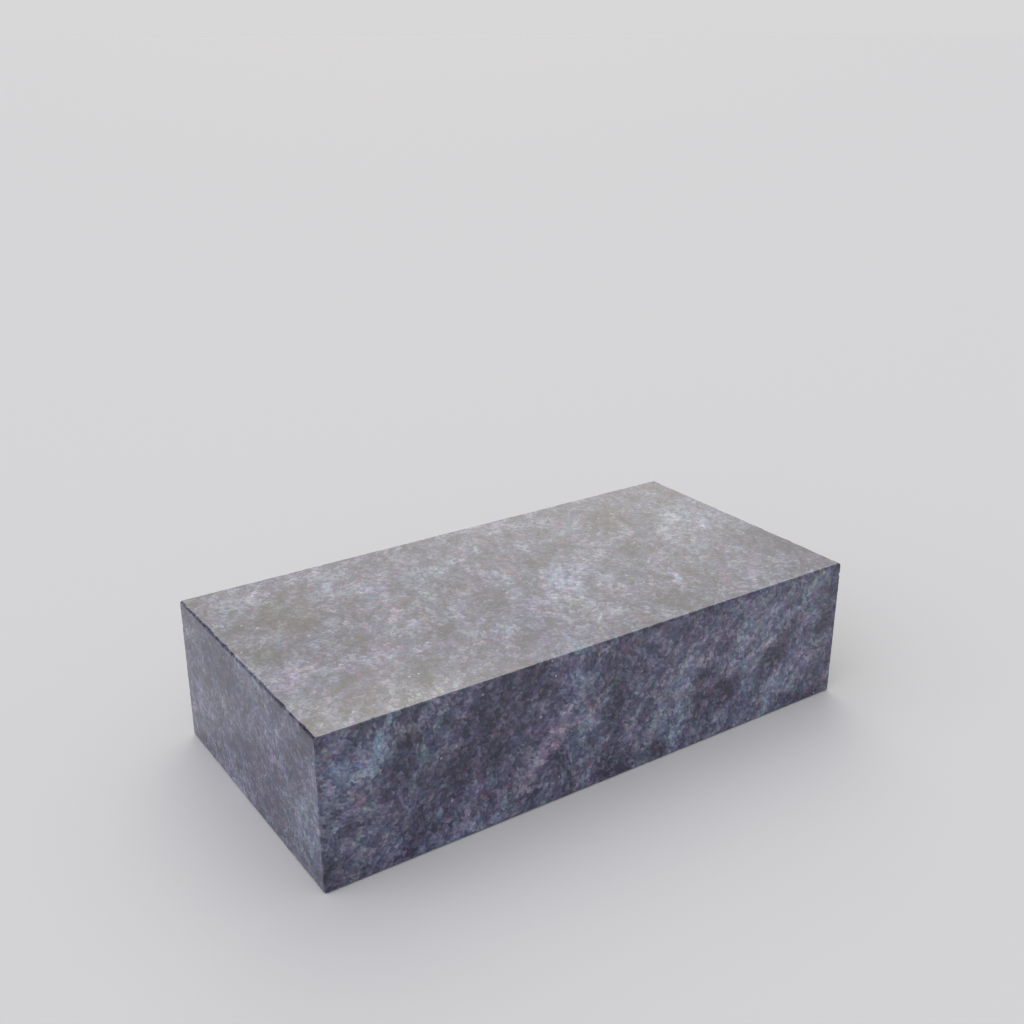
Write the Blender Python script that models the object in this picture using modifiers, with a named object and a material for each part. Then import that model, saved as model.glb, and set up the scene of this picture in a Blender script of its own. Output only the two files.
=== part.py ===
"""A flat grave marker: one solid block of dark polished granite that lies on its underside.

The block is sawn square and has a small flat chamfer, the arris, along every edge.
All sizes are in metres. The origin is at the centre of the underside, +Z is up,
+X runs along the length, and the long front face looks towards -Y.
"""

import bpy

# Driving dimensions
LENGTH = 0.600
WIDTH = 0.300
HEIGHT = 0.150

# How far the arris cuts back along each of the two faces that meet at an edge
ARRIS_LEG = 0.002

# Finish of the stone: a dark violet-grey ground under a gloss polish
GRANITE_COLOUR = (0.095, 0.096, 0.130, 1.0)
GRANITE_ROUGHNESS = 0.08
GRANITE_METALLIC = 0.0

MARKER = "flat_grave_marker"
BLOCK = "granite_block"


def clear_scene():
    """Start from an empty scene, wherever the script is run from."""
    for item in list(bpy.data.objects):
        bpy.data.objects.remove(item, do_unlink=True)


def new_collection(name):
    collection = bpy.data.collections.new(name)
    bpy.context.scene.collection.children.link(collection)
    return collection


def polished_granite():
    """Polished stone: a dielectric, almost mirror smooth."""
    material = bpy.data.materials.new("polished_granite")
    material.use_nodes = True
    shader = material.node_tree.nodes["Principled BSDF"]
    shader.inputs["Base Color"].default_value = GRANITE_COLOUR
    shader.inputs["Roughness"].default_value = GRANITE_ROUGHNESS
    shader.inputs["Metallic"].default_value = GRANITE_METALLIC
    return material


def granite_block(collection):
    """The sawn block, standing on the plane z = 0, with its arrises."""
    bpy.ops.mesh.primitive_cube_add(size=1.0)
    block = bpy.context.active_object
    block.name = BLOCK
    block.data.name = BLOCK
    block.scale = (LENGTH, WIDTH, HEIGHT)
    bpy.ops.object.transform_apply(location=False, rotation=False, scale=True)
    block.location.z = HEIGHT / 2

    # One flat facet, at 45 degrees between two faces, is what a stone yard calls an arris.
    # All twelve edges carry it, and three of them meet in a small triangle at each corner.
    arris = block.modifiers.new("arris", "BEVEL")
    arris.width = ARRIS_LEG
    arris.offset_type = "OFFSET"
    arris.segments = 1
    arris.limit_method = "NONE"

    for owner in list(block.users_collection):
        owner.objects.unlink(block)
    collection.objects.link(block)
    block.data.materials.append(polished_granite())
    return block


clear_scene()
granite_block(new_collection(MARKER))
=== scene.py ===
# %% [markdown]
# # A flat grave marker in polished granite
#
# The real thing is one sawn block of stone, 600 x 300 x 150 mm, that lies on a grave by its own
# weight. Five of its faces are ground and polished until they act as a dark mirror, and the
# underside is left as the saw left it.
# A block like this is a good first lesson in stone. Its outline is so plain that the whole
# likeness hangs on three things: the narrow chamfer along each edge, the pattern inside the
# stone, and what the polish reflects.
#
# The measured block was made first and is loaded here as a fixed frame. This script gives it
# its looks, and never its size.

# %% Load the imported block
import math
import random

import bmesh
import bpy
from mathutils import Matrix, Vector, noise


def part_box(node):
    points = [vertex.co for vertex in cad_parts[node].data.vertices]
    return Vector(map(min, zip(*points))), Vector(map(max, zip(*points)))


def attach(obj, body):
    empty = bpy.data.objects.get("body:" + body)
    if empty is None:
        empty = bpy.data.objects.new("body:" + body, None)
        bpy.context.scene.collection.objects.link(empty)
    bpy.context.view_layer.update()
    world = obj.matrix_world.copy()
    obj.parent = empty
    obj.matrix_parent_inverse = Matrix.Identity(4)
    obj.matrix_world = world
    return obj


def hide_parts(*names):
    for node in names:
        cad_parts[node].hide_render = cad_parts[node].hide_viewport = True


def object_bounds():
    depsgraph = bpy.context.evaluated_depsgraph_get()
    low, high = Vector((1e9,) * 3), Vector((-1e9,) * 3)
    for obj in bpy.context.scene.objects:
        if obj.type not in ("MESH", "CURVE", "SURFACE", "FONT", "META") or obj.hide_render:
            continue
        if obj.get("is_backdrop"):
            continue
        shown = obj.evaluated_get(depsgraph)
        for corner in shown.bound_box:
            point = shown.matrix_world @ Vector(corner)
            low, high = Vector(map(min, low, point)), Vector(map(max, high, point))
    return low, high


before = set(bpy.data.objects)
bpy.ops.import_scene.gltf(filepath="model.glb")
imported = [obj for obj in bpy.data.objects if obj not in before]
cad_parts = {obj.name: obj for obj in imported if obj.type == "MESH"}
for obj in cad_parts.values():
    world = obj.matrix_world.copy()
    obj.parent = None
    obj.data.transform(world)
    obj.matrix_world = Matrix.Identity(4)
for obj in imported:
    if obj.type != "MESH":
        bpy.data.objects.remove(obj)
cad_box = [list(corner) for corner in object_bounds()]
low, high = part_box("granite_block")
LENGTH, WIDTH, HEIGHT = high - low
print(f"block of {LENGTH * 1000:.0f} x {WIDTH * 1000:.0f} x {HEIGHT * 1000:.0f} mm")

# %% [markdown]
# ## The camera
#
# The block's corners and edges in the photograph fix the camera. Its three sets of parallel
# edges run to three vanishing points, and those give the lens, the height and the turn.
# A camera can be aimed with a Track To constraint, but here it is given the way a photographer
# would say it: where it stands, how far it is turned, and how far it is tipped down.

# %% Stand the camera where the photograph was taken from
LENS_MM = 43.2
SENSOR_MM = 36.0
CAMERA_AT = (-0.6357, -0.9216, 0.6717)
CAMERA_TURN = -34.11
CAMERA_TIP = 21.76

camera = bpy.data.objects.new("camera", bpy.data.cameras.new("camera"))
camera.data.lens = LENS_MM
camera.data.sensor_width = SENSOR_MM
camera.location = CAMERA_AT
camera.rotation_euler = (math.radians(90 - CAMERA_TIP), 0, math.radians(CAMERA_TURN))
bpy.context.scene.collection.objects.link(camera)
bpy.context.scene.camera = camera
print(f"camera {math.dist(CAMERA_AT, (0, 0, 0)):.2f} m from the block")

# %% [markdown]
# ## The block and its arrises
#
# A stone yard never leaves a sharp edge on granite, because it chips and it cuts. A flat of
# about 2 mm, the arris, is ground along every edge with a hand tool.
# A Bevel modifier would give it in one step, but the same from end to end, and no stone is so
# even. A hand leaves the arris a little crowned, and its width wavers by a few tenths of a
# millimetre as the tool moves along. So the cube is bevelled in mesh code, and each bevelled
# strip is then cut into short steps whose points can be moved.
# The six big faces are lifted off while the strips are cut, and filled in again after that,
# which keeps the cuts from running over them. It also tells the finishes apart: what is left
# without them is the part that was ground by hand.

# %% Bevel a cube
# Lengths are in metres, and in millimetres where the name ends in MM
ARRIS_LEG = 0.002
ARRIS_ROWS = 4
# 0.25 is a straight chamfer and 0.5 is a quarter round
ARRIS_CROWN = 0.33

sides = (LENGTH, WIDTH, HEIGHT)
centre = (low + high) / 2
shape = bmesh.new()
bmesh.ops.create_cube(shape, size=1.0)
bmesh.ops.scale(shape, vec=sides, verts=shape.verts)
bmesh.ops.translate(shape, vec=centre, verts=shape.verts)
bmesh.ops.bevel(shape, geom=list(shape.edges), offset=ARRIS_LEG, offset_type="OFFSET",
                segments=ARRIS_ROWS, profile=ARRIS_CROWN, affect="EDGES")
print(f"{len(shape.faces)} faces: 6 big ones, 12 strips of {ARRIS_ROWS} and 8 corners")

# %% Cut the strips into short steps
# The three finishes, in the order in which the block's materials are added further down
POLISHED, GROUND, SAWN = 0, 1, 2
ARRIS_STEP = 0.001

big_faces = [face for face in shape.faces if face.calc_area() > WIDTH * HEIGHT / 2]
bmesh.ops.delete(shape, geom=big_faces, context="FACES_ONLY")
for face in shape.faces:
    face.material_index = GROUND
for axis, side in enumerate(sides):
    long_edges = []
    for edge in shape.edges:
        if abs(edge.verts[1].co[axis] - edge.verts[0].co[axis]) > side / 2:
            long_edges.append(edge)
    cuts = round((side - 2 * ARRIS_LEG) / ARRIS_STEP) - 1
    bmesh.ops.subdivide_edges(shape, edges=long_edges, cuts=cuts, use_grid_fill=True)
open_edges = [edge for edge in shape.edges if edge.is_boundary]
big_faces = bmesh.ops.holes_fill(shape, edges=open_edges, sides=0)["faces"]
bmesh.ops.recalc_face_normals(shape, faces=shape.faces)
for face in big_faces:
    face.material_index = SAWN if face.normal.z < -0.5 else POLISHED
print(f"{len(shape.verts)} points, and {len(big_faces)} big faces filled in")

# %% [markdown]
# A face with thousands of points round its rim makes long thin triangles, which shade and
# export badly. The five polished faces are cut into panels, and the underside into a net that
# is fine enough for the marks of the saw.

# %% Cut the big faces into panels and a net
PANEL = 0.05
NET_ALONG = 0.012
NET_ACROSS = 0.001
# A hair more than the arris, and a length too short to matter, to allow for rounding
JUST_OVER_ARRIS = ARRIS_LEG * 1.01
TINY = 1e-6


def slice_up(faces, axis, pitch):
    """Cut faces by planes square to an axis, one pitch apart, and return all the pieces."""
    finished = []
    rest = list(faces)
    slices = round(sides[axis] / pitch)
    for step in range(1, slices):
        place = low[axis] + sides[axis] * step / slices
        if min(place - low[axis], high[axis] - place) < JUST_OVER_ARRIS:
            continue
        at = [0, 0, 0]
        at[axis] = place
        across = [0, 0, 0]
        across[axis] = 1
        edges = {edge for face in rest for edge in face.edges}
        points = {point for face in rest for point in face.verts}
        cut = bmesh.ops.bisect_plane(shape, geom=rest + list(edges) + list(points), dist=TINY,
                                     plane_co=at, plane_no=across)
        pieces = [part for part in cut["geom"] if isinstance(part, bmesh.types.BMFace)]
        rest = []
        for piece in pieces:
            (rest if piece.calc_center_median()[axis] > place else finished).append(piece)
    return finished + rest


for face in big_faces:
    facing = max(range(3), key=lambda axis: abs(face.normal[axis]))
    flat_axes = [axis for axis in range(3) if axis != facing]
    if face.material_index == SAWN:
        pieces = slice_up(slice_up([face], 1, NET_ACROSS), 0, NET_ALONG)
        print(f"underside in {len(pieces)} cells")
    else:
        slice_up(slice_up([face], flat_axes[0], PANEL), flat_axes[1], PANEL)
print(f"{len(shape.faces)} faces")

# %% [markdown]
# The waver comes from a noise that is read along the sharp edge that the cube once had. It
# scales how far each point stands back from that edge, so a point that lies on a flat
# face slides in that face and never leaves it.
# Later knocks have left small nicks, which are drawn the same way, as short deeper bites.

# %% Say where the nicks lie and how deep they are
# How much of an edge has one nick, half the length of a nick, and its depth as a share of the
# arris
NICK_EVERY = 0.09
NICK_LENGTH = (0.0012, 0.0032)
NICK_DEPTH = (0.2, 0.7)
# Nothing is moved this near a corner, where three arrises meet
CORNER_KEPT = 0.006

# A fixed seed gives the same nicks each run
chance = random.Random(7)


def nicks_along(side):
    """Places, half lengths and depths of the nicks on one edge, for each of its two faces."""
    nicks = []
    for _ in range(round(side / NICK_EVERY)):
        at = chance.uniform(CORNER_KEPT, side - CORNER_KEPT)
        half = chance.uniform(*NICK_LENGTH)
        nicks.append((at, half, chance.uniform(*NICK_DEPTH), chance.uniform(*NICK_DEPTH)))
    return nicks


def nick_depths(nicks, at):
    """How far the nicks cut at one place, as a share of the arris, into each face."""
    depths = [0.0, 0.0]
    for middle, half, first, second in nicks:
        bowl = max(0.0, 1 - ((at - middle) / half) ** 2)
        depths[0] = max(depths[0], bowl * first)
        depths[1] = max(depths[1], bowl * second)
    return depths


print(f"nicks {NICK_EVERY * 1000:.0f} mm apart on average")

# %% Let the arris waver and nick it
# The waver as a share of the arris
WAVER = 0.2
# The short edges were dressed with less care than the long ones
END_WAVER = 0.6
WAVER_LENGTH = 0.009
# How much weaker and how much shorter the noise's second wave is than its first
SECOND_WAVE = (0.4, 2.7)
# The two faces of an edge read the noise this many waves apart, so they don't waver together
READ_APART = 17

nicks_on = {}
moved = 0
for point in shape.verts:
    inset = [sides[axis] / 2 - abs(point.co[axis] - centre[axis]) for axis in range(3)]
    across = [axis for axis in range(3) if inset[axis] < JUST_OVER_ARRIS]
    if len(across) != 2:
        continue
    along = 3 - sum(across)
    key = (along,) + tuple(point.co[axis] > centre[axis] for axis in across)
    if key not in nicks_on:
        nicks_on[key] = nicks_along(sides[along])
    fade = min(1.0, max(0.0, inset[along] / CORNER_KEPT - 0.5))
    nicked = nick_depths(nicks_on[key], point.co[along] - low[along])
    edge_point = Vector(point.co)
    for axis in across:
        edge_point[axis] = centre[axis] + math.copysign(sides[axis] / 2, point.co[axis] - centre[axis])
    for turn, axis in enumerate(across):
        read_at = edge_point / WAVER_LENGTH + Vector((0, 0, READ_APART * turn))
        wave = noise.fractal(read_at, *SECOND_WAVE, 2)
        reach = 1 + fade * ((END_WAVER if along == 1 else WAVER) * wave + nicked[turn])
        outward = math.copysign(1, point.co[axis] - centre[axis])
        point.co[axis] = centre[axis] + outward * (sides[axis] / 2 - inset[axis] * reach)
    moved += 1
print(f"{moved} arris points moved, {sum(len(nicks) for nicks in nicks_on.values())} nicks")

# %% [markdown]
# ## The sawn underside
#
# The block was cut from a bigger one by a gang of wires, which leave shallow furrows
# along their way, up to a quarter of a millimetre deep. Nobody polishes the face that lies
# on the ground.
# Marks like these could be left to a bump map, but a bump goes flat at a low angle. They are
# pressed upward into the net of the underside, so the block still rests on its ridges.

# %% Press the saw furrows into the underside
FURROW_PITCH = 0.009
FURROW_DEPTH = 0.00025
# They fade out towards the arris
FURROW_FADE = 0.008
# How far they stray to the side, and the size along X and Y of the noise that moves them
STRAY = 0.004
STRAY_SIZE = (0.25, 0.06)
# How uneven their depth is, as a share, and the size of the noise for that
UNEVEN = 0.4
UNEVEN_SIZE = (0.12, 0.02)
# The two noises are read at these heights, far enough apart to have nothing in common
STRAY_HEIGHT = 3.0
UNEVEN_HEIGHT = 9.0

deepest = 0.0
for point in shape.verts:
    inset = min(LENGTH / 2 - abs(point.co.x), WIDTH / 2 - abs(point.co.y)) - ARRIS_LEG
    if point.co.z > TINY or inset <= 0:
        continue
    x, y = point.co.x, point.co.y
    aside = STRAY * noise.noise((x / STRAY_SIZE[0], y / STRAY_SIZE[1], STRAY_HEIGHT))
    wave = 0.5 - 0.5 * math.cos(2 * math.pi * (y + aside) / FURROW_PITCH)
    uneven = 1 - UNEVEN + UNEVEN * noise.noise((x / UNEVEN_SIZE[0], y / UNEVEN_SIZE[1], UNEVEN_HEIGHT))
    point.co.z = FURROW_DEPTH * wave * uneven * min(1.0, inset / FURROW_FADE)
    deepest = max(deepest, point.co.z)
print(f"furrows up to {deepest * 1000:.2f} mm deep")

# %% [markdown]
# A polished face is a true plane and is shaded flat. The arrises and the sawn face are made of
# small facets, and smooth shading blends those into one worked surface.
# The panels are split into triangles here, because some have many points along a side, and
# another program might split them in a worse way.

# %% Triangulate the panels and smooth the worked faces
panels = [face for face in shape.faces if len(face.verts) > 4]
bmesh.ops.triangulate(shape, faces=panels, ngon_method="BEAUTY")
counts = [0, 0, 0]
for face in shape.faces:
    face.smooth = face.material_index != POLISHED
    counts[face.material_index] += 1
print(f"{counts[POLISHED]} polished, {counts[GROUND]} ground and {counts[SAWN]} sawn faces")

# %% [markdown]
# The finished mesh becomes one object. One call ties it to the body it moves with, and another
# hides the measured piece that it stands for.

# %% Hand the block over to the scene
block = bpy.data.objects.new("polished_block", bpy.data.meshes.new("polished_block"))
shape.to_mesh(block.data)
shape.free()
bpy.context.scene.collection.objects.link(block)
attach(block, "root")
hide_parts("granite_block")
print(f"{block.name}: {len(block.data.polygons)} faces")

# %% [markdown]
# ## Colours and nodes
#
# A colour is read off a screen as an sRGB hex code, but Blender's sockets want linear light,
# so one small function turns the one into the other. A second one adds a node with its
# settings and its links, which keeps each recipe below short enough to read as a recipe.
# Texture scales count features in a metre, so a third turns a real size into a scale.

# %% Three helpers


def srgb(code):
    """The linear colour of an sRGB hex code such as "4b4c64"."""
    shades = [int(code[place:place + 2], 16) / 255 for place in (0, 2, 4)]
    linear = [shade / 12.92 if shade <= 0.04045 else ((shade + 0.055) / 1.055) ** 2.4 for shade in shades]
    return linear + [1]


def add_node(tree, kind, settings=None, inputs=None, stops=None):
    """Add a node, set its properties, and fill its sockets with values or links."""
    made = tree.nodes.new(kind)
    for name, value in (settings or {}).items():
        setattr(made, name, value)
    for name, value in (inputs or {}).items():
        if isinstance(value, bpy.types.NodeSocket):
            tree.links.new(value, made.inputs[name])
        else:
            made.inputs[name].default_value = value
    if stops:
        ramp = made.color_ramp.elements
        while len(ramp) < len(stops):
            ramp.new(1.0)
        for element, (place, code) in zip(ramp, stops):
            element.position = place
            element.color = srgb(code)
    return made


def per_mm(size):
    """The scale at which a texture has one feature in that many millimetres."""
    return 1000 / size


print("the stone's middle shade in linear light", [round(part, 3) for part in srgb("4b4c64")])

# %% [markdown]
# ## The stone itself
#
# This granite is a foliated one: it was squeezed and flowed while it was hot, so its minerals lie
# in drawn-out wisps rather than as even pepper and salt. The wisps lean the same way through
# the whole block, which is why the pattern has to be solid. It is worked out at each point
# in space, so that it runs on round the edges as it does in stone, and no picture wrapped
# around a box can do that.
# Noise gives the wisps if its space is first bent a little, turned until Z stands across the
# layers, and then drawn out along them. The turning is the same for every texture, so it is
# done once, and after it each texture only needs a multiplication.

# %% Find a point's place among the layers
ACROSS_LAYERS = Vector((-0.85, 0.53, 0.64))
BEND_MM = 90
BEND_BY = 0.03

layer_turn = ACROSS_LAYERS.to_track_quat("Z", "Y")


def lay_out(tree):
    """Object space, bent a little as the hot stone was, and turned to the layers."""
    place = add_node(tree, "ShaderNodeTexCoord").outputs["Object"]
    bend = add_node(tree, "ShaderNodeTexNoise",
                    inputs={"Vector": place, "Scale": per_mm(BEND_MM), "Detail": 2.0})
    centred = add_node(tree, "ShaderNodeVectorMath", {"operation": "SUBTRACT"},
                       {0: bend.outputs["Color"], 1: (0.5, 0.5, 0.5)})
    bent = add_node(tree, "ShaderNodeVectorMath", {"operation": "MULTIPLY_ADD"},
                    {0: centred.outputs["Vector"], 1: (BEND_BY,) * 3, 2: place})
    laid = add_node(tree, "ShaderNodeMapping", {"vector_type": "TEXTURE"},
                    {"Vector": bent.outputs["Vector"], "Rotation": layer_turn.to_euler()})
    return laid.outputs["Vector"]


def drawn_out(tree, laid, stretch):
    """The laid-out space with everything in it that many times longer along the layers."""
    return add_node(tree, "ShaderNodeVectorMath", {"operation": "MULTIPLY"},
                    {0: laid, 1: (1 / stretch, 1 / stretch, 1)}).outputs["Vector"]


print("across the layers:", [round(part, 2) for part in ACROSS_LAYERS.normalized()])

# %% [markdown]
# Each point of the stone needs three numbers: how light it is, how far it leans from teal to
# mauve, and how far from blue to brown. A noise texture's Color output is three separate
# noises in one, so a vector can carry all three numbers through the recipe.
# Wisps of every size from 70 mm to 9 mm are about equally strong in the stone, and a noise whose
# roughness is near 1 gives just that. Below that size noise would look like felt, because
# real stone is crystals there. A Voronoi texture fills space with cells and gives each one its
# own random shade, once at 5 mm for clots of crystals and once at 2.4 mm for single ones.
# Crystals grow into each other, so a fine noise shifts the place where the cells are read, and
# that makes their borders ragged. The palest ones are greyer than the rest.
# A block is known by its drifts, though: pale and dark patches from a thumb to a hand wide,
# which no noise would put in the right place. Each is a soft ellipsoid in the stone. There is a
# limit to them, as a material that has to hold too many values at once renders black, so every
# drift is added to the sum as soon as it is worked out.

# %% Lay the drifts that this block is known by
# The middle in mm, the half thickness in mm, how many times longer it is along the layers,
# and what it adds to light, mauve and brown. The front comes first, then the top, and last the
# left end.
DRIFTS = (
    ((-245, -150, 124), 7, 4.0, (0.14, -0.10, -0.05)),
    ((-272, -150, 130), 6, 3.0, (-0.12, 0.0, 0.0)),
    ((-215, -150, 122), 6, 3.0, (-0.12, 0.0, 0.0)),
    ((-268, -150, 82), 7, 1.5, (0.04, 0.14, 0.08)),
    ((-235, -150, 30), 30, 1.6, (-0.07, 0.0, 0.0)),
    ((-150, -150, 80), 32, 1.8, (-0.10, 0.02, 0.0)),
    ((-150, -150, 14), 10, 1.6, (0.13, -0.03, 0.0)),
    ((-95, -150, 16), 7, 1.4, (-0.16, 0.0, 0.0)),
    ((-68, -150, 68), 7, 6.0, (0.20, 0.14, 0.05)),
    ((-42, -150, 62), 10, 1.8, (0.12, -0.09, 0.0)),
    ((12, -150, 12), 14, 1.4, (-0.20, 0.0, 0.05)),
    ((57, -150, 14), 11, 1.3, (-0.24, 0.0, 0.05)),
    ((34, -150, 130), 8, 1.4, (-0.13, 0.0, 0.0)),
    ((78, -150, 30), 10, 2.2, (0.19, -0.10, -0.05)),
    ((150, -150, 112), 42, 1.6, (0.11, 0.03, 0.0)),
    ((248, -150, 112), 26, 1.6, (0.07, 0.02, 0.0)),
    ((146, -150, 50), 18, 1.1, (-0.27, 0.03, 0.04)),
    ((116, -150, 62), 20, 1.1, (-0.25, 0.04, 0.04)),
    ((203, -150, 64), 18, 1.1, (-0.27, 0.02, 0.04)),
    ((229, -150, 84), 16, 1.3, (-0.24, 0.02, 0.04)),
    ((285, -150, 77), 11, 1.5, (-0.20, 0.0, 0.05)),
    ((-228, 64, 150), 31, 1.5, (-0.16, 0.0, 0.14)),
    ((-282, 4, 150), 14, 1.5, (-0.13, 0.0, 0.12)),
    ((-262, -45, 150), 14, 1.5, (0.10, 0.09, 0.04)),
    ((-149, 85, 150), 5, 2.0, (0.0, 0.28, 0.22)),
    ((-88, 66, 150), 14, 1.7, (0.12, -0.03, -0.06)),
    ((-155, -65, 150), 9, 1.5, (0.09, -0.03, -0.03)),
    ((34, 26, 150), 11, 1.6, (-0.14, 0.0, 0.12)),
    ((42, -20, 150), 19, 2.8, (0.08, -0.02, -0.06)),
    ((76, -36, 150), 12, 1.5, (0.06, -0.06, -0.04)),
    ((12, -66, 150), 13, 1.5, (-0.14, 0.0, 0.08)),
    ((50, -76, 150), 9, 1.4, (-0.12, 0.0, 0.08)),
    ((130, -84, 150), 4, 8.0, (0.24, 0.0, -0.05)),
    ((180, 80, 150), 24, 1.6, (-0.09, 0.04, 0.10)),
    ((-215, -136, 150), 26, 1.5, (-0.13, 0.0, 0.06)),
    ((-300, -115, 55), 24, 1.6, (0.12, -0.10, 0.0)),
)
RAGGED_MM = 22
# A drift is at full strength inside the first share of its own size, and is gone at the second
DRIFT_SHARES = (0.3, 1.5)


def drifts(tree, laid, noise_about_zero):
    """What the drifts add to the mineral numbers, with edges that the noise makes ragged."""
    place = add_node(tree, "ShaderNodeVectorMath", {"operation": "MULTIPLY_ADD"},
                     {0: noise_about_zero, 1: (RAGGED_MM / 1000,) * 3, 2: laid}).outputs["Vector"]
    total = (0.0, 0.0, 0.0)
    for middle, half_mm, stretch, adds in DRIFTS:
        grow = [1000 / half_mm / part for part in (stretch, stretch, 1)]
        at = layer_turn.inverted() @ (Vector(middle) / 1000)
        about = add_node(tree, "ShaderNodeVectorMath", {"operation": "MULTIPLY_ADD"},
                         {0: place, 1: grow, 2: [-part * more for part, more in zip(at, grow)]})
        away = add_node(tree, "ShaderNodeVectorMath", {"operation": "LENGTH"},
                        {0: about.outputs["Vector"]})
        inside = add_node(tree, "ShaderNodeMapRange", {"interpolation_type": "SMOOTHSTEP"},
                          {"Value": away.outputs["Value"],
                           "From Min": DRIFT_SHARES[1], "From Max": DRIFT_SHARES[0]})
        added = add_node(tree, "ShaderNodeVectorMath", {"operation": "SCALE"},
                         {0: adds, "Scale": inside.outputs["Result"]})
        total = add_node(tree, "ShaderNodeVectorMath", {"operation": "ADD"},
                         {0: total, 1: added.outputs["Vector"]}).outputs["Vector"]
    return total


print(len(DRIFTS), "drifts")

# %% Mix the minerals
# A share says how strongly a texture adds to light, mauve and brown
WISP_MM = 70
HUE_MM = 13
GRAIN_MM = 3.0
CLOT_MM = 5.0
CRYSTAL_MM = 2.4
BORDER_SHIFT_MM = 4.0
WISP_STRETCH = 1.9
WISP_SHARE = (1.4, 0.45, 0.4)
GRAIN_SHARE = (0.35, 0.02, 0.1)
HUE_SHARE = (0.0, 0.7, 0.5)
CLOT_SHARE = (0.3, 0.02, 0.1)
CRYSTAL_SHARE = (0.17, 0.01, 0.06)


def minerals(tree, laid):
    """Light, mauve and brown at each point, about zero on average, and a number for each crystal."""
    layers = drawn_out(tree, laid, WISP_STRETCH)
    wisps = add_node(tree, "ShaderNodeTexNoise",
                     inputs={"Vector": layers, "Scale": per_mm(WISP_MM), "Detail": 3.0, "Roughness": 1.0})
    hues = add_node(tree, "ShaderNodeTexNoise",
                    inputs={"Vector": laid, "Scale": per_mm(HUE_MM), "Detail": 1.0, "Roughness": 0.9})
    grains = add_node(tree, "ShaderNodeTexNoise",
                      inputs={"Vector": laid, "Scale": per_mm(GRAIN_MM), "Detail": 0.0})
    shifted = add_node(tree, "ShaderNodeVectorMath", {"operation": "MULTIPLY_ADD"},
                       {0: grains.outputs["Color"], 1: (BORDER_SHIFT_MM / 1000,) * 3, 2: laid})
    clots = add_node(tree, "ShaderNodeTexVoronoi",
                     inputs={"Vector": shifted.outputs["Vector"], "Scale": per_mm(CLOT_MM)})
    crystals = add_node(tree, "ShaderNodeTexVoronoi",
                        inputs={"Vector": shifted.outputs["Vector"], "Scale": per_mm(CRYSTAL_MM)})
    clot_luck = add_node(tree, "ShaderNodeSeparateXYZ", inputs={"Vector": clots.outputs["Color"]})
    crystal_luck = add_node(tree, "ShaderNodeSeparateXYZ", inputs={"Vector": crystals.outputs["Color"]})
    total = (0.0, 0.0, 0.0)
    shares = ((wisps.outputs["Color"], WISP_SHARE), (hues.outputs["Color"], HUE_SHARE),
              (grains.outputs["Fac"], GRAIN_SHARE), (clot_luck.outputs["X"], CLOT_SHARE),
              (crystal_luck.outputs["X"], CRYSTAL_SHARE))
    for source, share in shares:
        centred = add_node(tree, "ShaderNodeVectorMath", {"operation": "SUBTRACT"},
                           {0: source, 1: (0.5, 0.5, 0.5)})
        total = add_node(tree, "ShaderNodeVectorMath", {"operation": "MULTIPLY_ADD"},
                         {0: centred.outputs["Vector"], 1: share, 2: total}).outputs["Vector"]
    ragged = add_node(tree, "ShaderNodeVectorMath", {"operation": "SUBTRACT"},
                      {0: hues.outputs["Color"], 1: (0.5, 0.5, 0.5)})
    drifted = drifts(tree, laid, ragged.outputs["Vector"])
    mix = add_node(tree, "ShaderNodeVectorMath", {"operation": "ADD"}, {0: total, 1: drifted})
    return mix.outputs["Vector"], crystal_luck.outputs["Y"]


print(f"wisps from {WISP_MM} mm, clots of {CLOT_MM} mm and crystals of {CRYSTAL_MM} mm")

# %% [markdown]
# The light number picks a shade between dark mica and pale feldspar, and the other two tint it.
# A second ramp, from mauve to teal, could be mixed in for the tint, but it would cover the light
# and dark of the stone. A tint that multiplies keeps them.

# %% Turn the minerals into colour
# From nearly black mica to pale feldspar
TONES = ((0.0, "171624"), (0.25, "2a2a3f"), (0.5, "4b4c64"), (0.75, "707488"), (1.0, "96a0b2"))
MIDDLE_TONE = 0.485
# What one whole step of mauve or brown does to red, green and blue
MAUVE_TINT = (0.9, -0.5, 0.1)
BROWN_TINT = (0.5, 0.15, -0.9)


def stone_colour(tree, parts):
    """The colour of the stone where its three mineral numbers are known."""
    light = add_node(tree, "ShaderNodeMath", {"operation": "ADD"},
                     {0: parts.outputs["X"], 1: MIDDLE_TONE})
    tone = add_node(tree, "ShaderNodeValToRGB", inputs={"Fac": light.outputs["Value"]}, stops=TONES)
    tint = (1.0, 1.0, 1.0)
    for part, lean in (("Y", MAUVE_TINT), ("Z", BROWN_TINT)):
        leaned = add_node(tree, "ShaderNodeVectorMath", {"operation": "MULTIPLY_ADD"},
                          {0: parts.outputs[part], 1: lean, 2: tint})
        tint = leaned.outputs["Vector"]
    tinted = add_node(tree, "ShaderNodeVectorMath", {"operation": "MULTIPLY"},
                      {0: tone.outputs["Color"], 1: tint})
    return tinted.outputs["Vector"]


print(len(TONES), "shades from", TONES[0][1], "to", TONES[-1][1])

# %% [markdown]
# Two minerals stand apart from the rest. Dark red garnets, 3 to 5 mm across, lie in loose
# clusters, and here and there a fleck of clear quartz or feldspar catches the light.
# One Voronoi texture gives both the distance to a cell's middle, which draws a round spot, and a
# random colour for the cell, which decides if the cell has a spot at all.

# %% Scatter the garnets and the flecks
# The colour, the size of a cell in mm, the spot's radius as a share of the cell, how rare it is
# from 0 to 2, and the size of a cluster in mm
GARNETS = ("5b4050", 9, 0.5, 1.25, 60)
FLECKS = ("a4b0c0", 8, 0.2, 1.35, 25)
# Between rare and this much more than rare, a spot is only partly there
FAINT = 0.15


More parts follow.
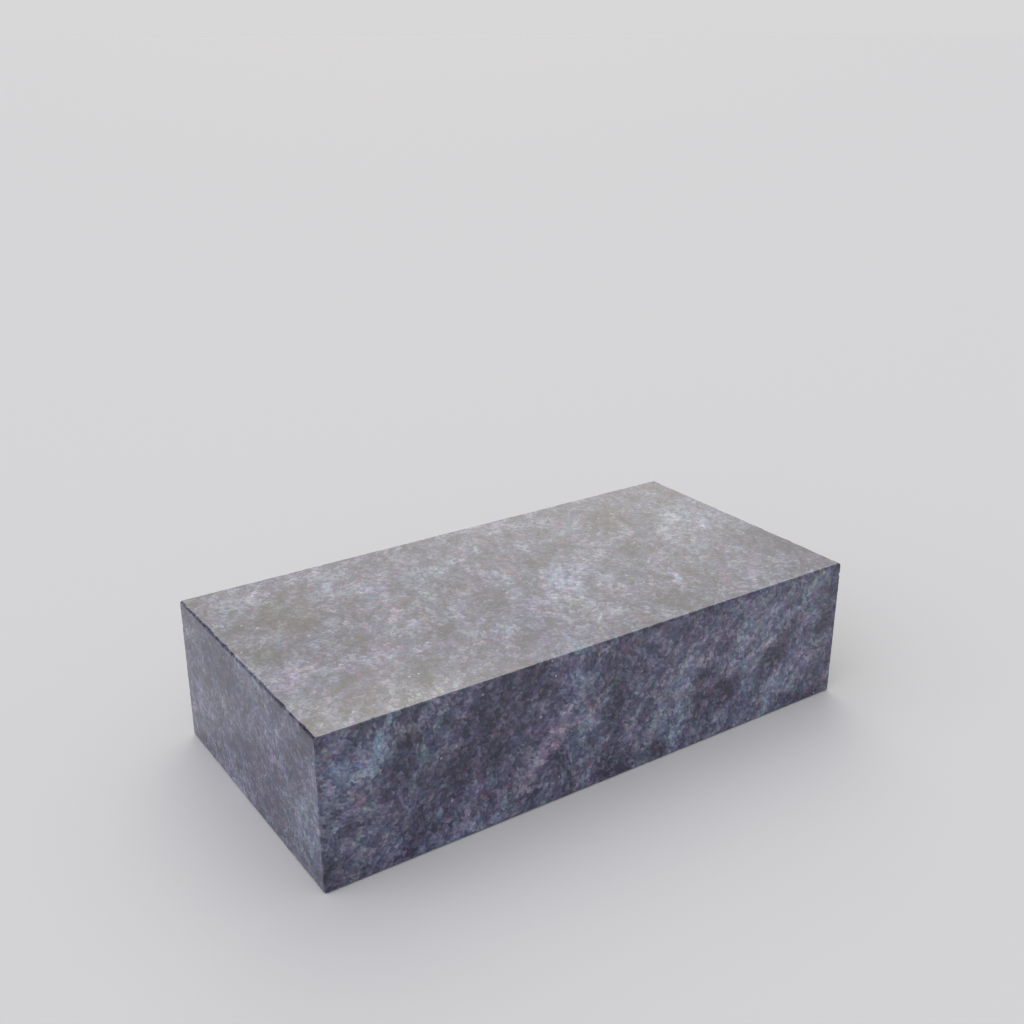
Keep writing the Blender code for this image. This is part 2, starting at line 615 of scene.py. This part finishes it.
def scattered(tree, laid, base, spots):
    """Lay soft round spots of one colour over another, in clusters."""
    colour, cell_mm, radius, rarity, cluster_mm = spots
    cells = add_node(tree, "ShaderNodeTexVoronoi", inputs={"Vector": laid, "Scale": per_mm(cell_mm)})
    spot = add_node(tree, "ShaderNodeMapRange",
                    inputs={"Value": cells.outputs["Distance"], "From Min": radius, "From Max": 0.0})
    cluster = add_node(tree, "ShaderNodeTexNoise",
                       inputs={"Vector": laid, "Scale": per_mm(cluster_mm), "Detail": 1.0})
    luck = add_node(tree, "ShaderNodeSeparateXYZ", inputs={"Vector": cells.outputs["Color"]})
    sum_of_luck = add_node(tree, "ShaderNodeMath", {"operation": "ADD"},
                           {0: luck.outputs["X"], 1: cluster.outputs["Fac"]})
    kept = add_node(tree, "ShaderNodeMapRange",
                    inputs={"Value": sum_of_luck.outputs["Value"],
                            "From Min": rarity, "From Max": rarity + FAINT})
    amount = add_node(tree, "ShaderNodeMath", {"operation": "MULTIPLY"},
                      {0: spot.outputs["Result"], 1: kept.outputs["Result"]})
    spotted = add_node(tree, "ShaderNodeMix", {"data_type": "RGBA"},
                       {"Factor": amount.outputs["Value"], "A": base, "B": srgb(colour)})
    return spotted.outputs["Result"]


print("a garnet at most every", GARNETS[1], "mm, and a fleck at most every", FLECKS[1], "mm")

# %% [markdown]
# ## Three finishes of one stone
#
# The same stone shows three finishes, so one function makes the stone and each finish adds its
# own surface. Every finish shares the pattern, and a wisp that meets an edge goes on over it.

# %% The stone under any finish


def granite(name):
    """A new material: its tree, its shader, and sockets for the parts of the stone."""
    material = bpy.data.materials.new(name)
    material.use_nodes = True
    tree = material.node_tree
    laid = lay_out(tree)
    mix, crystals = minerals(tree, laid)
    parts = add_node(tree, "ShaderNodeSeparateXYZ", inputs={"Vector": mix})
    colour = stone_colour(tree, parts)
    colour = scattered(tree, laid, colour, GARNETS)
    colour = scattered(tree, laid, colour, FLECKS)
    block.data.materials.append(material)
    stone = {"colour": colour, "light": parts.outputs["X"], "crystals": crystals}
    print(f"{name}: {len(tree.nodes)} nodes so far")
    return tree, tree.nodes["Principled BSDF"], stone


def relief(tree, shader, height, depth_mm):
    """Tilt the surface as if it rose and fell by that many millimetres."""
    bump = add_node(tree, "ShaderNodeBump", inputs={"Height": height, "Distance": depth_mm / 1000})
    tree.links.new(bump.outputs["Normal"], shader.inputs["Normal"])


# %% [markdown]
# ### Polished
#
# Felt pads with tin oxide bring granite to a gloss that is nearly optical, so its roughness is
# low. The minerals differ in hardness, though, and the dark mica never takes quite the same
# polish as the pale feldspar. The gloss is therefore tied to the light mineral number, and
# each crystal stands a few thousandths of a millimetre higher or lower than the next.
# A bump asks for its height three times over, so it is given the crystals alone and not the
# whole recipe, which would take longer to render and look the same.
# Stone has an index of refraction of about 1.55, and a sealer brings the shine up to about 1.6.

# %% Polished granite
POLISHED_IOR = 1.6
ROUGHNESS_OF_DARK = 0.12
ROUGHNESS_OF_PALE = 0.05
POLISH_RELIEF_MM = 0.004
# Most of the stone has a light number between these
LIGHT_SPAN = (-0.3, 0.3)

# It gives the eye deep violet-grey stone under a clear dark mirror
tree, shader, stone = granite("polished_granite")
gloss = add_node(tree, "ShaderNodeMapRange",
                 inputs={"Value": stone["light"],
                         "From Min": LIGHT_SPAN[0], "From Max": LIGHT_SPAN[1],
                         "To Min": ROUGHNESS_OF_DARK, "To Max": ROUGHNESS_OF_PALE})
tree.links.new(stone["colour"], shader.inputs["Base Color"])
tree.links.new(gloss.outputs["Result"], shader.inputs["Roughness"])
shader.inputs["IOR"].default_value = POLISHED_IOR
relief(tree, shader, stone["crystals"], POLISH_RELIEF_MM)
print("polished: roughness", ROUGHNESS_OF_PALE, "to", ROUGHNESS_OF_DARK)

# %% [markdown]
# ### Ground
#
# The arris is dressed with a hand stone and only briefly buffed, so it is satin rather than bright.
# Its colour is mixed towards near black, as painted shade for the dark line that the tilted arris shows.
# The scratches are about a tenth of a millimetre apart, too fine to show, and are drawn five
# times as coarse.

# %% Ground granite
GROUND_IOR = 1.55
# A near black mixed into the arris colour: painted shade for the dark line along the arris
ARRIS_PAINTED_SHADE = "14141c"
ARRIS_PAINTED_SHADE_SHARE = 0.3
GROUND_SCRATCH_MM = 0.5
GROUND_ROUGHNESS = (0.12, 0.25)
GROUND_RELIEF_MM = 0.02
# Most of a noise lies between these
NOISE_SPAN = (0.3, 0.7)

# It gives the eye a thin dark satin line round each polished face, darkened by painted shade
tree, shader, stone = granite("ground_granite")
place = add_node(tree, "ShaderNodeTexCoord").outputs["Object"]
scratches = add_node(tree, "ShaderNodeTexNoise",
                     inputs={"Vector": place, "Scale": per_mm(GROUND_SCRATCH_MM), "Detail": 2.0})
satin = add_node(tree, "ShaderNodeMapRange",
                 inputs={"Value": scratches.outputs["Fac"],
                         "From Min": NOISE_SPAN[0], "From Max": NOISE_SPAN[1],
                         "To Min": GROUND_ROUGHNESS[0], "To Max": GROUND_ROUGHNESS[1]})
# Painted shade: the arris colour is mixed towards near black
darkened = add_node(tree, "ShaderNodeMix", {"data_type": "RGBA"},
                    {"Factor": ARRIS_PAINTED_SHADE_SHARE, "A": stone["colour"], "B": srgb(ARRIS_PAINTED_SHADE)})
tree.links.new(darkened.outputs["Result"], shader.inputs["Base Color"])
tree.links.new(satin.outputs["Result"], shader.inputs["Roughness"])
shader.inputs["IOR"].default_value = GROUND_IOR
relief(tree, shader, scratches.outputs["Fac"], GROUND_RELIEF_MM)
print("ground: scratches", GROUND_SCRATCH_MM, "mm apart")

# %% [markdown]
# ### Sawn
#
# A sawn face is matt and much paler than a polished one, as a dry pebble is paler than a wet
# one. The wires leave fine lines along the block, with stone powder on their ridges, and they
# pluck some crystals deeper than others. The lines are about half a millimetre apart, and are
# drawn nearly twice as coarse to show.
# A noise texture that is stretched along X draws lines of that kind.

# %% Sawn granite
SAWN_IOR = 1.5
STONE_POWDER = "8e8d99"
# How much powder lies in the low lines and on the high ones, and which lines those are
SAWN_POWDER = (0.3, 0.6)
POWDER_SPAN = (0.35, 0.65)
SAWN_ROUGHNESS = (0.6, 0.8)
SAW_LINE_MM = 0.9
SAW_LINE_STRETCH = 60
PLUCKED_SHARE = 0.6
SAWN_RELIEF_MM = 0.12

# It gives the eye a dry pale grey with fine lines along it
tree, shader, stone = granite("sawn_granite")
place = add_node(tree, "ShaderNodeTexCoord").outputs["Object"]
sawn_way = add_node(tree, "ShaderNodeMapping", {"vector_type": "TEXTURE"},
                    {"Vector": place, "Scale": (SAW_LINE_STRETCH, 1, 1)}).outputs["Vector"]
lines = add_node(tree, "ShaderNodeTexNoise",
                 inputs={"Vector": sawn_way, "Scale": per_mm(SAW_LINE_MM), "Detail": 2.0}).outputs["Fac"]
rough_face = add_node(tree, "ShaderNodeMath", {"operation": "MULTIPLY_ADD"},
                      {0: stone["crystals"], 1: PLUCKED_SHARE, 2: lines}).outputs["Value"]
matt = add_node(tree, "ShaderNodeMapRange",
                inputs={"Value": lines, "From Min": NOISE_SPAN[0], "From Max": NOISE_SPAN[1],
                        "To Min": SAWN_ROUGHNESS[0], "To Max": SAWN_ROUGHNESS[1]})
powder = add_node(tree, "ShaderNodeMapRange",
                  inputs={"Value": lines, "From Min": POWDER_SPAN[0], "From Max": POWDER_SPAN[1],
                          "To Min": SAWN_POWDER[0], "To Max": SAWN_POWDER[1]})
powdered = add_node(tree, "ShaderNodeMix", {"data_type": "RGBA"},
                    {"Factor": powder.outputs["Result"], "A": stone["colour"],
                     "B": srgb(STONE_POWDER)})
tree.links.new(powdered.outputs["Result"], shader.inputs["Base Color"])
tree.links.new(matt.outputs["Result"], shader.inputs["Roughness"])
shader.inputs["IOR"].default_value = SAWN_IOR
relief(tree, shader, rough_face, SAWN_RELIEF_MM)
print("sawn: lines", SAW_LINE_MM, "mm apart and", SAW_LINE_MM * SAW_LINE_STRETCH, "mm long")

# %% [markdown]
# ## The floor
#
# A plain pale floor in matt paint. The block's sides are mirrors that look down at it, so its
# shade is a part of theirs. With the paint's gloss nearly off, the far end of the floor is as
# bright as the room behind it, and in this view no line shows where they meet.

# %% A plain pale floor
FLOOR_HALF = 60
FLOOR_COLOUR = "b8b8ba"
FLOOR_ROUGHNESS = 0.9
FLOOR_GLOSS = 0.1

floor_shape = bmesh.new()
bmesh.ops.create_grid(floor_shape, x_segments=1, y_segments=1, size=FLOOR_HALF)
floor = bpy.data.objects.new("floor", bpy.data.meshes.new("floor"))
floor_shape.to_mesh(floor.data)
floor_shape.free()
bpy.context.scene.collection.objects.link(floor)
floor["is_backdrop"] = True

# It gives the eye an even pale grey that takes a soft shadow
paint = bpy.data.materials.new("pale_floor_paint")
paint.use_nodes = True
paint_shader = paint.node_tree.nodes["Principled BSDF"]
paint_shader.inputs["Base Color"].default_value = srgb(FLOOR_COLOUR)
paint_shader.inputs["Roughness"].default_value = FLOOR_ROUGHNESS
paint_shader.inputs["Specular IOR Level"].default_value = FLOOR_GLOSS
floor.data.materials.append(paint)
print(f"floor {2 * FLOOR_HALF} m square")

# %% [markdown]
# ## Soft light
#
# A photographer lights a polished stone by what it mirrors, not by what shines on it. The top
# of the block mirrors the wall behind it, so that wall carries a wide soft light.
# It could be built of area lights, but their edges would show in the polish as hard lines.
# Here the light is drawn on the world instead: an even pale room, and soft-edged glows in
# chosen directions. A glow with colours below zero takes light away, as a black card does.

# %% Draw the room and its glows on the world
ROOM = (0.685, 0.683, 0.688)
# Turn from +Y towards +X, height over the floor, half width where the glow is full, half width
# where it ends, all in degrees, and its colour
GLOWS = (
    # The wide light that the top mirrors
    (29, 27, 12, 26, (1.19, 1.12, 0.9)),
    # The edge of a brighter sheet, which the near corner of the top mirrors
    (33, 52, 22.2, 23.6, (1.25, 1.2, 1.03)),
    # A fill for the left end
    (-100, 35, 30, 65, (1.0, 0.98, 1.05)),
    # A weak light overhead
    (0, 90, 20, 45, (0.5, 0.5, 0.5)),
    # A black card, which draws the dark line along the top arris of the left end
    (-32, 26, 8, 20, (-0.6, -0.6, -0.6)),
)

world = bpy.data.worlds.new("studio")
bpy.context.scene.world = world
world.use_nodes = True
sky = world.node_tree
# On a world, the Generated coordinates are the direction from the middle of the scene
direction = add_node(sky, "ShaderNodeTexCoord").outputs["Generated"]


def glow(light, turn, height, inner, outer, colour):
    """Add a soft round light to what the world gives so far."""
    turn, height = math.radians(turn), math.radians(height)
    towards = (math.sin(turn) * math.cos(height), math.cos(turn) * math.cos(height), math.sin(height))
    near = add_node(sky, "ShaderNodeVectorMath", {"operation": "DOT_PRODUCT"}, {0: direction, 1: towards})
    share = add_node(sky, "ShaderNodeMapRange", {"interpolation_type": "SMOOTHSTEP"},
                     {"Value": near.outputs["Value"], "From Min": math.cos(math.radians(outer)),
                      "From Max": math.cos(math.radians(inner))})
    added = add_node(sky, "ShaderNodeVectorMath", {"operation": "MULTIPLY_ADD"},
                     {0: share.outputs["Result"], 1: colour, 2: light})
    return added.outputs["Vector"]


light = ROOM
for row in GLOWS:
    light = glow(light, *row)
sky.links.new(light, sky.nodes["Background"].inputs["Color"])
# The plain view transform shows each colour as it is, which is how the stone was matched
bpy.context.scene.view_settings.view_transform = "Standard"
print("room with", len(GLOWS), "glows")

# %% [markdown]
# ## The sizes once more
#
# The worked block has to fill the same box as the measured one. The shifts between the corners
# of the two boxes are printed, and should all be zero.

# %% Compare the sizes and finish
visual_box = [list(corner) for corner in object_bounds()]
for name, seen, made in zip(("low", "high"), visual_box, cad_box):
    print(name, "corner moved by", [round((a - b) * 1000, 3) for a, b in zip(seen, made)], "mm")
